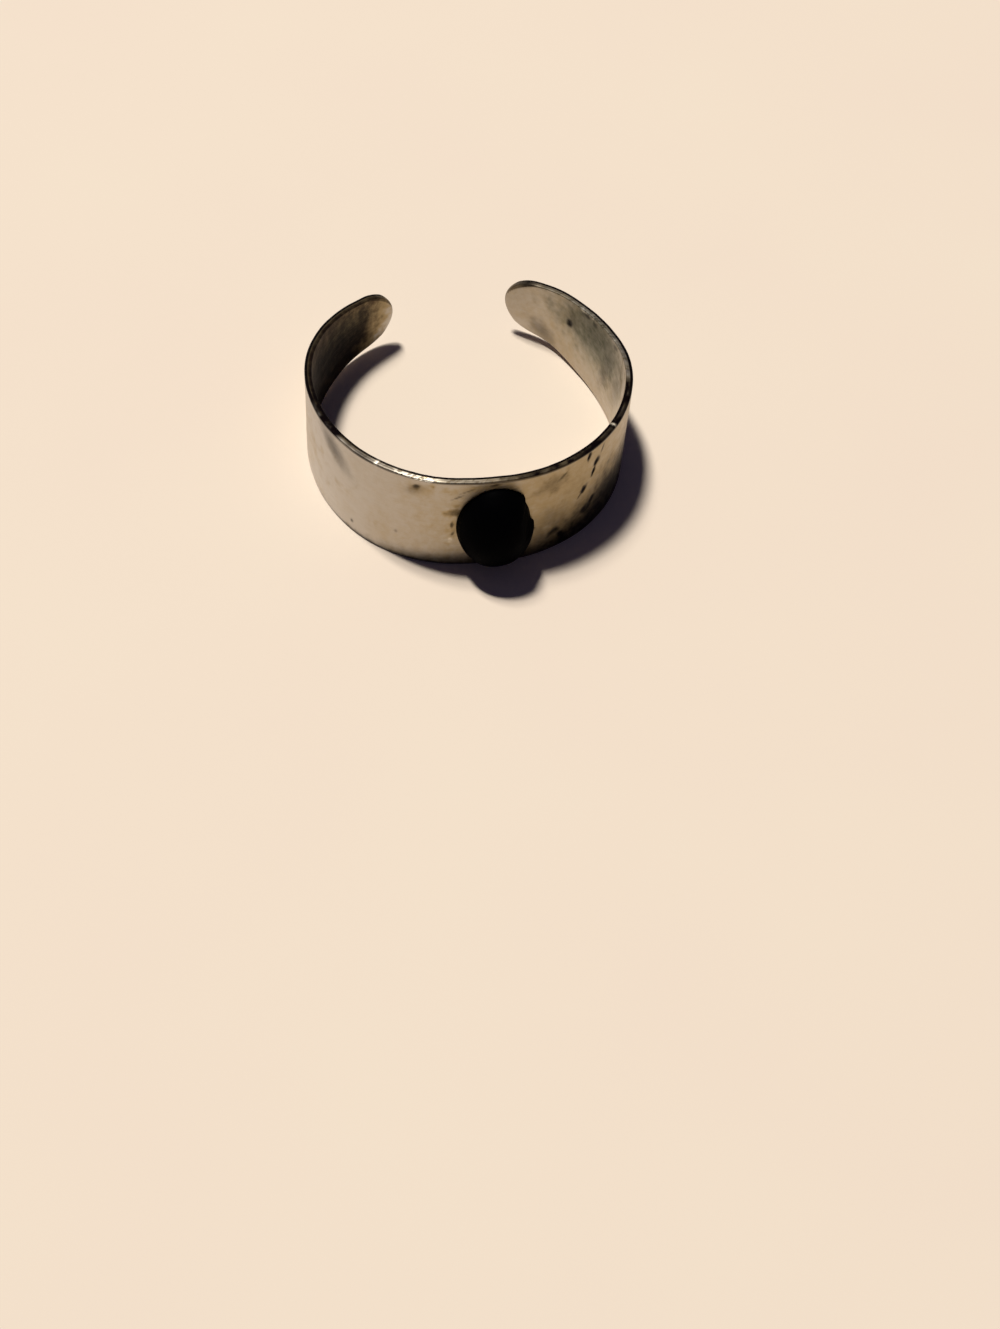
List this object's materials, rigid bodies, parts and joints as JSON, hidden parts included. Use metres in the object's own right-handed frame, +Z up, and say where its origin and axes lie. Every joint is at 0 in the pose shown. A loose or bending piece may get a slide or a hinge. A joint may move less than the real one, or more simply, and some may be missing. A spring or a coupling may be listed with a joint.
{
  "type": "toe ring",
  "caption": "Open toe ring of bent silver sheet, widest at the front and tapering to oval ends, with a black oval domed stone on its front.",
  "frame": {"origin": "middle of the whole ring's box in plan, on the flat foot it lies on", "axes": "+Z up from the foot to the top edge, -Y out of the front through the stone, +Y to the open back, +X to the right as seen from the front"},
  "size_m": [0.017, 0.0186, 0.0064],
  "materials": {
    "band_silver": "tarnished silver sheet, satin outside, brown and greenish stains inside, bright file marks on the top edge",
    "stone_black": "opaque black stone, dull polish, worn and slightly uneven"
  },
  "bodies": {
    "root": {"band": "band_silver", "stone": "stone_black"}
  },
  "joints": []
}
